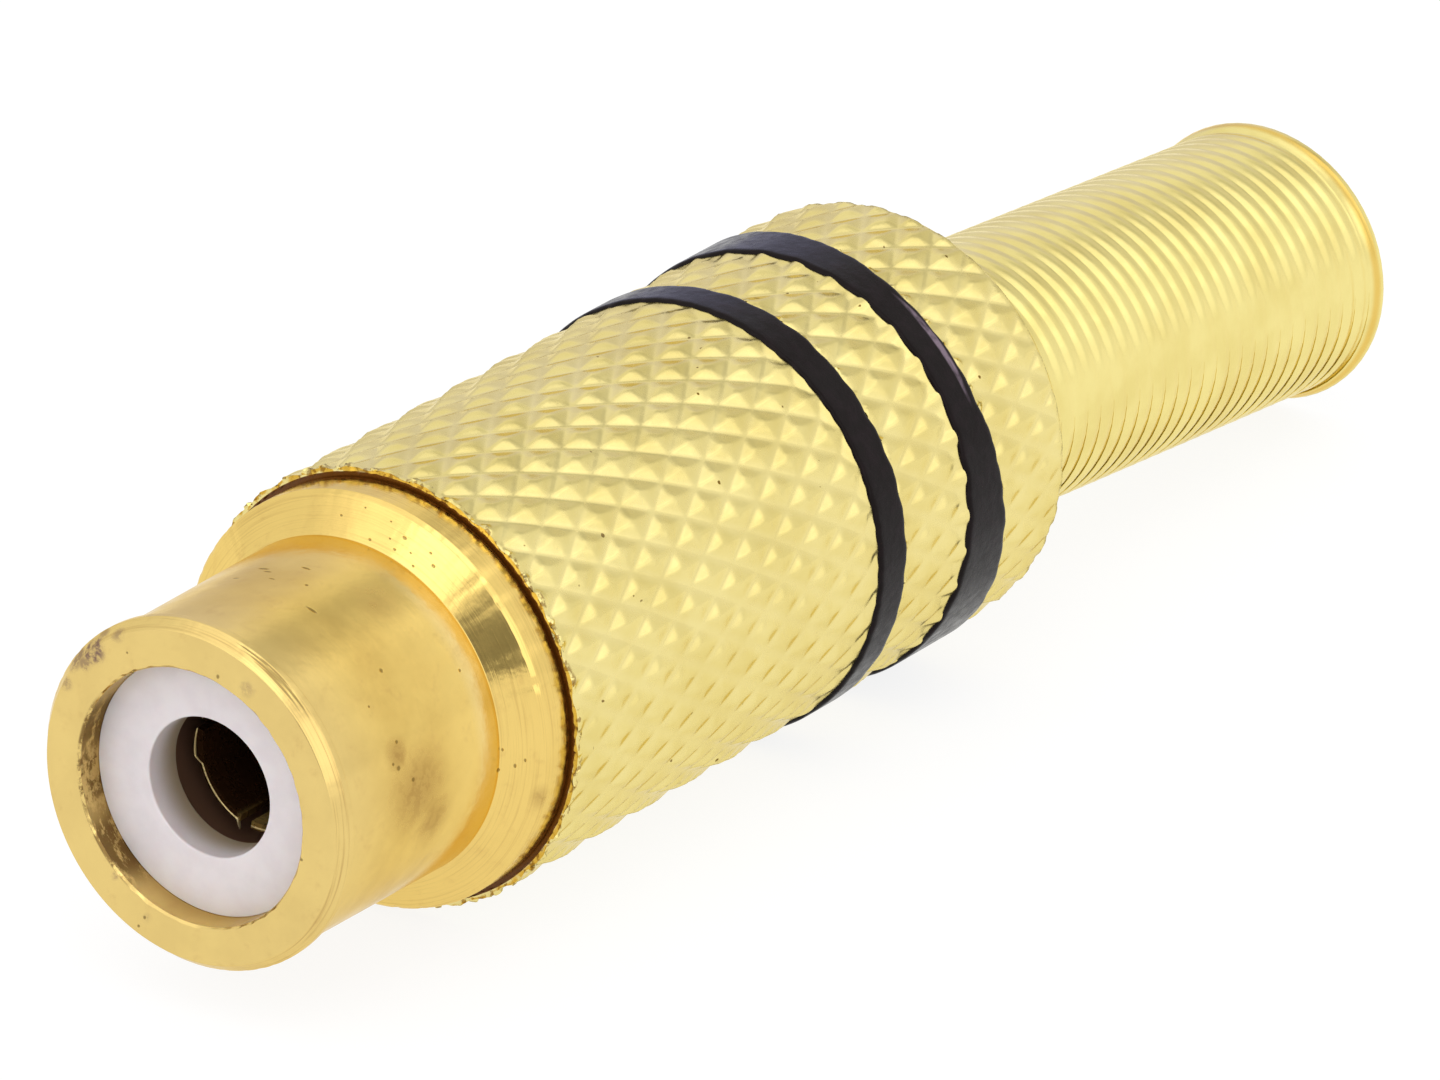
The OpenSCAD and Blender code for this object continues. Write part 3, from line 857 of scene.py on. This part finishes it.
# Marks on the nose: place along its outline, angle, reach, and for tarnish softness and strength
TARNISH = [
    (3.98, 132, 0.5, 0.5, 0.85), (4.18, 141, 0.46, 0.6, 0.7), (3.8, 138, 0.24, 0.6, 0.6),
    (4.3, 127, 0.3, 0.7, 0.5), (3.9, 150, 0.26, 0.8, 0.5), (4.0, 119, 0.3, 0.8, 0.5),
    (3.2, 229, 0.16, 0.7, 0.4), (3.45, 62, 0.34, 0.9, 0.3), (3.45, 249, 0.18, 0.8, 0.3),
    (7.05, 2, 1.4, 0.95, 0.5), (6.5, 16, 0.55, 0.9, 0.5), (7.7, -12, 0.9, 0.9, 0.4),
    (11.5, -14, 0.4, 0.9, 0.4), (8.6, 62, 0.9, 0.9, 0.2),
]
SPECKS = [
    (3.24, 75, 0.07), (3.46, 248, 0.06), (3.76, 247, 0.05), (3.12, 347, 0.06), (3.5, 118, 0.04),
    (7.64, 81, 0.05), (7.14, 42, 0.07), (6.45, 12, 0.08), (6.6, 20, 0.06), (6.3, 14, 0.05),
    (6.9, 6, 0.07), (10.1, -7, 0.07), (10.2, 0, 0.05), (10.6, -5, 0.06), (10.9, -3, 0.05),
    (6.2, 34, 0.04), (9.4, 30, 0.05), (10.33, 83, 0.05), (10.62, 77, 0.035), (10.4, 74, 0.045),
    (10.86, 73, 0.06), (10.58, 69, 0.03), (10.3, 66, 0.04), (10.95, 64, 0.04), (10.7, 61, 0.055),
    (11.1, 79, 0.03), (10.8, 95, 0.045), (11.2, 88, 0.03),
]
DASHES = [
    (7.86, 100, 0.055), (7.72, 97, 0.04), (7.2, 104, 0.035),
    (6.9, 71, 0.06), (8.3, 88, 0.045), (7.4, 92, 0.03),
]
SCRATCHES = [
    (4.2, 54, 0.045), (4.27, 60, 0.04), (4.33, 52, 0.05), (4.4, 58, 0.035), (4.36, 66, 0.03),
]
# each kind with how much its angle is squeezed, which draws a mark out round the axis
MARKS = [(SPECKS, 1.0), (DASHES, 0.3), (SCRATCHES, 0.05)]
# Stains on the recess's rim: angle, spread, and the noise from which they are full
RIM_STAINS = [(219, 0.42, 0.5), (186, 0.35, 0.57), (160, 0.35, 0.5)]


def nose_material():
    n = Finish("turned_gold")
    place = n.place()
    x, radius, angle = n.round_axis(place)
    in_recess = n.between(radius, FACE_R, FACE_R + 0.025, 1, 0)
    along = n.math("MULTIPLY_ADD", x, n.math("MULTIPLY_ADD", in_recess, -2, 1), radius)
    outer_face = n.between(radius, 2.7, 2.9)

    color = n.clouded(place, 0.6, 5, *NOSE_GOLD)
    color = n.mix(n.between(along, 7.6, 9.4, 0, 0.75), color, NOSE_GOLD_BACK)
    color = n.mix(n.between(along, 4.4, 6.8, 0.45, 0), color, NOSE_GOLD_FRONT)
    # painted light: the barrel is painted paler beside its foot, where it mirrors the flank, which
    # would make it too orange there
    foot_painted_light = n.within(along, FOOT_AT - 0.93, FOOT_AT - 0.33, FOOT_AT - 0.15, FOOT_AT - 0.05)
    on_barrel = n.between(radius, BARREL_R - 0.12, BARREL_R - 0.02, 0, 0.5)
    color = n.mix(n.times(foot_painted_light, on_barrel), color, NOSE_FOOT_PAINTED_LIGHT)
    patches = n.between(n.noise(place, 2.2, 5, 0.7), 0.52, 0.75, 0, 0.18)
    color = n.mix(patches, color, BRONZE)
    # painted shade: a dark, dull colour inside the chamber
    inside = n.times(n.between(radius, 2.9, 3.0, 1, 0), n.between(x, 0.9, 1.2))
    color = n.mix(inside, color, CHAMBER_PAINTED_SHADE)
    color = n.mix(n.times(in_recess, n.between(x, 0.1, 0.7, 0, 0.3)), color, BROWN)
    # ragged brown stain on the recess's wall, where it meets the face
    ragged = n.noise(n.join(n.times(x, 2.2), n.times(angle, 3.2)), 1.7, 5, 0.75)
    turned = n.heading(angle)
    rim = n.within(radius, FACE_R - 0.05, FACE_R - 0.02, FACE_R + 0.02, FACE_R + 0.08)
    for turn_deg, spread, full in RIM_STAINS:
        stained = n.times(n.near(turned, heading(turn_deg), spread, 0.7),
                          n.between(ragged, full - 0.12, full), rim, 0.8)
        color = n.mix(stained, color, RIM_BROWN)
    # painted shade and reflection: brown down in the gap, on the collar's back
    gap_shade = n.times(n.between(x, COLLAR_X1 - 0.05, COLLAR_X1 - 0.01),
                  n.between(radius, THREAD_R + 0.1, THREAD_R + 0.3))
    color = n.mix(gap_shade, color, GAP_PAINTED_SHADE)

    flat = n.join(along, n.times(angle, BARREL_R))
    tarnish = n.greatest([
        n.times(n.near(flat, (at, round_mm(turn_deg), 0), reach, soft), strength)
        for at, turn_deg, reach, soft, strength in TARNISH
    ])
    patchy = n.between(n.noise(place, 3.2, 5, 0.7), 0.4, 0.58)
    blotchy = n.greatest([n.between(patchy, 0, 1, 0.25, 1), n.between(along, 5, 5.5, 0, 0.75)])
    tarnish = n.times(tarnish, outer_face, blotchy)
    color = n.mix(tarnish, color, n.mix(n.between(along, 4.2, 4.6), VIOLET_BROWN, BROWN))

    specks = []
    for marks, squeeze in MARKS:
        drawn = n.join(along, n.times(angle, squeeze * BARREL_R))
        specks += [n.near(drawn, (at, round_mm(turn_deg) * squeeze, 0), reach, 0.6)
                   for at, turn_deg, reach in marks]
    specks = n.times(n.greatest(specks), outer_face)
    color = n.mix(n.times(specks, 0.65), color, SPECK)

    # turning marks run round the axis, deepest on the flank, and streak the flank and the bevel
    turning = n.noise(n.join(n.times(along, 13), n.times(angle, 1.2)), 1.0, 3, 0.7)
    depth = n.between(along, FOOT_AT - 0.23, FOOT_AT + 0.17, 0.7, 2.2)
    on_bevel = n.times(n.between(along, BEVEL_AT, BEVEL_AT + 0.07),
                       n.between(along, BEVEL_END_AT - 0.05, BEVEL_END_AT + 0.05, 0.4, 0))
    behind_foot = n.between(along, FOOT_AT - 0.03, FOOT_AT + 0.07, 0, 0.22)
    streaked = n.greatest([on_bevel, behind_foot])
    streaks = n.times(n.between(turning, 0.48, 0.7), streaked, outer_face)
    color = n.mix(streaks, color, STREAK_BROWN)
    relief = n.bump(n.times(turning, depth), 0.0016)
    relief = n.bump(specks, -0.01, 1.0, relief)
    relief = n.bump(n.noise(place, 1.3, 3), 0.02, 0.6, relief)

    on_flank = n.within(along, FOOT_AT - 0.13, FOOT_AT + 0.07,
                        FLANK_END_AT - 0.1, FLANK_END_AT + 0.1)
    roughness = n.patched(place, 1.6, 3, 0.17, 0.26, 0.75)
    roughness = n.math("MULTIPLY_ADD", on_flank, -0.08, roughness)
    roughness = n.math("MULTIPLY_ADD", tarnish, 0.3, roughness)
    # less metal where shade is painted, in the gap and inside the chamber
    painted_shade_share = n.greatest([n.times(gap_shade, 0.7), inside])
    return n.finish(color, roughness, n.math("SUBTRACT", 1.0, painted_shade_share), relief, NOSE_TINT)


def shell_material():
    n = Finish("knurled_gold")
    place = n.place()
    x, radius, _ = n.round_axis(place)
    color = n.clouded(place, 0.7, 4, *SHELL_GOLD)
    # a few dark grains
    color = n.mix(n.between(n.noise(place, 3.1, 1), 0.78, 0.8), color, GRAIN)
    # painted light: the valleys are painted paler, since two reflections in a valley would make
    # them too orange
    valley_painted_light = n.between(radius, SHELL_R - 0.12, SHELL_R - 0.06, 0.1, 0)
    color = n.mix(valley_painted_light, color, SHELL_VALLEY_PAINTED_LIGHT)
    # brown in noisy patches close behind its front edge
    edge_brown = n.times(n.between(x, SHELL_X0 + 0.08, SHELL_X0 + 0.2, 1, 0),
                     n.between(n.noise(place, 6, 2), 0.52, 0.62, 0, 0.65))
    color = n.mix(edge_brown, color, FRONT_EDGE_BROWN)
    inside = n.between(radius, CAVITY_R + 0.3, CAVITY_R + 0.4, 1, 0)
    color = n.mix(inside, color, SHELL_GOLD_INSIDE)
    # painted shade and reflection: brown down in the gap round the collar
    gap_shade = n.times(n.between(x, SHELL_X0 + 0.1, SHELL_X0 + 0.3, 1, 0),
                  n.between(radius, FRONT_LIP_R + 0.01, FRONT_LIP_R + 0.02, 1, 0))
    color = n.mix(gap_shade, color, GAP_PAINTED_SHADE)
    metal = n.math("SUBTRACT", 1.0, n.times(gap_shade, 0.7))
    return n.finish(color, n.patched(place, 3.0, 3, 0.2, 0.3, 0.75), metal,
                    n.bump(n.noise(place, 4, 3), 0.004, 0.6), SHELL_TINT)


def spring_material():
    n = Finish("sprung_gold")
    place = n.place()
    x, _, _ = n.split(place)
    color = n.clouded(place, 0.8, 3, *SPRING_GOLD)
    # painted shade: a richer, darker gold in the groove just before the end coil
    seam_shade = n.within(x, SPRING_X1 - 0.74, SPRING_X1 - 0.62, SPRING_X1 - 0.58, SPRING_X1 - 0.44)
    color = n.mix(n.times(seam_shade, 0.6), color, SPRING_SEAM_PAINTED_SHADE)
    return n.finish(color, n.patched(place, 2.0, 3, 0.18, 0.27, 0.75), 1.0,
                    n.bump(n.noise(place, 5, 3), 0.006, 0.5), SPRING_TINT)


def ring_material():
    n = Finish("black_lacquer")
    place = n.place()
    x, _, angle = n.round_axis(place)
    color = n.mix(n.between(n.noise(place, 3, 3), 0.4, 0.7), *LACQUER)
    # a rubbed streak near the rear ring's back edge, narrow along the axis
    streak_x, streak_turn = 23.86, math.radians(44)
    scale_x, scale_turn = 8, 0.55 * SHELL_R
    streak = n.near(n.join(n.times(x, scale_x), n.times(angle, scale_turn)),
                    (scale_x * streak_x, scale_turn * streak_turn, 0), 0.95, 0.5)
    worn = n.between(n.noise(n.stretch(place, 2, 1, 1), 2.0, 4), 0.35, 0.6, 0.2, 0.75)
    color = n.mix(n.times(streak, worn), color, RUBBED)
    return n.finish(color, n.patched(place, 4, 3, 0.2, 0.34), 0.0,
                    n.bump(n.noise(place, 3, 3), 0.02, 0.6), IOR=1.21)


def insulator_material():
    n = Finish("white_polymer")
    place = n.place()
    x, radius, _ = n.round_axis(place)
    color = n.clouded(place, 1.5, 4, *POLYMER)
    # painted shade: the hole's wall is painted darker and warmer inwards
    hole_shade = n.times(n.between(radius, DISC_HOLE_R + 0.03, DISC_HOLE_R + 0.1, 1, 0),
                   n.between(x, DISC_X0 + 0.1, DISC_X1 - 0.1))
    color = n.mix(hole_shade, color, POLYMER_HOLE_SHADE)
    return n.finish(color, n.patched(place, 5, 3, 0.38, 0.5), 0.0,
                    n.bump(n.noise(place, 8, 3), 0.004, 0.4), IOR=1.5,
                    Subsurface_Weight=0.15, Subsurface_Scale=0.6 * MM)


def contact_material(name, colors, shade_color):
    """Gold with painted shade down the tube, but for one finger's mouth, left bright where it
    catches light.
    """
    n = Finish(name)
    place = n.place()
    x, _, angle = n.round_axis(place)
    color = n.clouded(place, 2, 3, *colors)
    lit = n.times(n.near(n.heading(angle), heading(LIT_TURN), 0.3, 0.6),
                  n.between(x, CONTACT_X0 + 0.2, CONTACT_X0 + 1.2, 1, 0))
    # painted shade, all but where the one finger catches light at its mouth
    color = n.mix(n.math("SUBTRACT", 1.0, lit), color, shade_color)
    scored = n.noise(n.stretch(place, 20, 0.6, 0.6), 1.0, 2, 0.6)
    return n.finish(color, n.patched(place, 3, 2, 0.22, 0.34), 0.6, n.bump(scored, 0.002, 0.6))


def bush_material():
    n = Finish("brown_phenolic")
    place = n.place()
    fibres = n.noise(n.stretch(place, 1, 6, 1), 3, 4)
    color = n.mix(n.between(fibres, 0.3, 0.7), *PHENOLIC)
    roughness = n.between(fibres, 0.3, 0.7, 0.4, 0.55)
    return n.finish(color, roughness, 0.0, n.bump(fibres, 0.01, 0.4))


def lug_material():
    n = Finish("tinned_sheet")
    place = n.place()
    cloudy = n.noise(place, 2, 5, 0.6)
    color = n.mix(n.between(cloudy, 0.35, 0.7), *TIN)
    roughness = n.between(cloudy, 0.3, 0.7, 0.3, 0.44)
    scratches = n.noise(n.stretch(place, 2, 22, 22), 1.0, 2)
    return n.finish(color, roughness, 1.0, n.bump(scratches, 0.006, 0.4))


def sleeve_material():
    n = Finish("clear_sleeve")
    place = n.place()
    color = n.clouded(place, 1, 3, *CLEAR)
    return n.finish(color, n.patched(place, 4, 3, 0.12, 0.22), 0.0,
                    n.bump(n.noise(place, 3, 3), 0.01, 0.4), IOR=1.49, Transmission_Weight=0.7)


# Pieces, each on its body and with its finish

def place_piece(piece, material, slot, body, *nodes):
    piece.data.materials.append(material)
    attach(piece, body)
    if nodes:
        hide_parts(*nodes)


place_piece(make_nose(), nose_material(), "gold_nose", "nose", "nose_barrel")
place_piece(make_insulator(), insulator_material(), "white_insulator", "nose", "front_insulator")
place_piece(make_contact_tips(), contact_material("tip_gold", TIP_GOLD, TIP_GOLD[1]),
            "gold_contact", "nose")
gold_shell = shell_material()
place_piece(make_shell(), gold_shell, "gold_shell", "shell", "shell")
place_piece(make_shell_thread(), gold_shell, "gold_shell", "shell")
black = ring_material()
place_piece(make_ring("front_ring", "ring_front"), black, "black_ring", "shell", "front_ring")
place_piece(make_ring("rear_ring", "ring_rear"), black, "black_ring", "shell", "rear_ring")
place_piece(make_spring(), spring_material(), "gold_spring", "spring", "strain_relief_spring")

for node, material in (
    ("centre_contact", contact_material("contact_gold", CONTACT_GOLD, CONTACT_PAINTED_SHADE)),
    ("rear_insulator", bush_material()),
    ("ground_lug", lug_material()),
    ("insulating_sleeve", sleeve_material()),
):
    cad = frame["nodes"][node]
    cad.data.materials.clear()
    cad.data.materials.append(material)


# Floor, light and camera

FLOOR_HALF = 3.0
FLOOR_COLOR = 0.9
FLOOR_WHITE = 1.05
FLOOR_WHITE_SHARE = 0.82


def make_floor():
    """A white table, shown mostly white by itself so that the object's shadow stays faint."""
    mesh = bpy.data.meshes.new("floor")
    corners = [(-1, -1), (1, -1), (1, 1), (-1, 1)]
    points = [(FLOOR_HALF * x, FLOOR_HALF * y, FLOOR_Z) for x, y in corners]
    mesh.from_pydata(points, [], [(0, 1, 2, 3)])
    floor = bpy.data.objects.new("floor", mesh)
    bpy.context.scene.collection.objects.link(floor)
    n = Finish("white_table")
    n.shader.inputs["Base Color"].default_value = (FLOOR_COLOR, FLOOR_COLOR, FLOOR_COLOR, 1)
    n.shader.inputs["Roughness"].default_value = 0.6
    path = n.add("ShaderNodeLightPath")
    kinds = "Is Camera Ray", "Is Glossy Ray", "Is Transmission Ray"
    seen = n.greatest([path.outputs[kind] for kind in kinds])
    white = n.add("ShaderNodeEmission")
    mixed = n.add("ShaderNodeMixShader")
    white.inputs["Strength"].default_value = FLOOR_WHITE
    n.link(n.times(seen, FLOOR_WHITE_SHARE), mixed.inputs[0])
    n.link(n.shader.outputs[0], mixed.inputs[1])
    n.link(white.outputs[0], mixed.inputs[2])
    n.link(mixed.outputs[0], n.tree.nodes["Material Output"].inputs["Surface"])
    floor.data.materials.append(n.material)


# Soft boxes and darker openings of the tent: direction, inner and outer angle, change of light
TENT = 0.95
TENT_AREAS = [
    ((0.43, -0.67, 0.62), 10, 21, 0.3),
    ((0.44, -0.28, 0.85), 12, 25, 0.34),
    ((0.46, -0.83, 0.3), 8, 20, 0.22),
    ((0.76, 0.46, 0.45), 8, 20, 0.05),
    ((0.74, 0.0, 0.68), 6, 17, -0.28),
    ((-0.34, -0.25, 0.9), 8, 20, 0.65),
    ((-0.5, 0.15, 0.85), 20, 42, 0.35),
    ((-0.63, -0.4, 0.66), 8, 20, 0.4),
    ((-0.37, -0.84, 0.38), 12, 26, 0.6),
    ((-0.9, 0.08, 0.43), 7, 15, 0.95),
    ((-0.8, 0.38, 0.45), 6, 15, 0.25),
    ((-0.7, 0.58, 0.42), 6, 14, 0.12),
    ((-0.94, -0.27, 0.05), 9, 20, -0.66),
    ((0.95, 0.12, 0.28), 10, 24, -0.18),
    ((0.72, 0.66, 0.2), 10, 30, -0.13),
]
# Light from behind is a little cooler
TENT_COOL = (0.74, 0.64, 0.2), 12, 34
COOL_WHITE = (0.95, 0.96, 1.3)


def make_world():
    """An even white tent with soft boxes, a dark strip overhead and a darker front opening."""
    world = bpy.data.worlds.new("tent")
    bpy.context.scene.world = world
    world.use_nodes = True
    n = Nodes(world.node_tree)
    direction = n.add("ShaderNodeTexCoord").outputs["Generated"]
    level = TENT
    for centre, inner_deg, outer_deg, change in TENT_AREAS:
        area = n.toward(direction, centre, inner_deg, outer_deg)
        level = n.math("MULTIPLY_ADD", area, change, level)
    background = n.tree.nodes["Background"]
    cool = n.toward(direction, *TENT_COOL)
    n.link(n.mix(cool, (1, 1, 1), COOL_WHITE), background.inputs["Color"])
    n.link(level, background.inputs["Strength"])


def make_camera():
    """The photograph's camera: a long lens from the nose's side, found by fitting the outlines."""
    azimuth, elevation = math.radians(-55.458), math.radians(22.663)
    distance_mm, focal_px, width_px = 327.94, 14145.0, 1440
    aim = Vector((22, 0, 0))
    right_px, up_px = 36.2, 58.8
    back = Vector((
        math.sin(azimuth) * math.cos(elevation),
        -math.cos(azimuth) * math.cos(elevation),
        math.sin(elevation),
    ))
    right = Vector((math.cos(azimuth), math.sin(azimuth), 0))
    up = back.cross(right)
    # turned a little off the aim, so that the object sits where the photograph has it
    forward = (-back - right * right_px / focal_px - up * up_px / focal_px).normalized()
    side = forward.cross(up).normalized()
    data = bpy.data.cameras.new("camera")
    data.sensor_width = 36
    data.lens = focal_px / width_px * data.sensor_width
    data.clip_start = 0.01
    camera = bpy.data.objects.new("camera", data)
    bpy.context.scene.collection.objects.link(camera)
    turn = Matrix((side, side.cross(forward), -forward)).transposed()
    camera.matrix_world = Matrix.Translation((aim + back * distance_mm) * MM) @ turn.to_4x4()
    bpy.context.scene.camera = camera


make_floor()
make_world()
make_camera()
bpy.context.scene.view_settings.view_transform = "Standard"
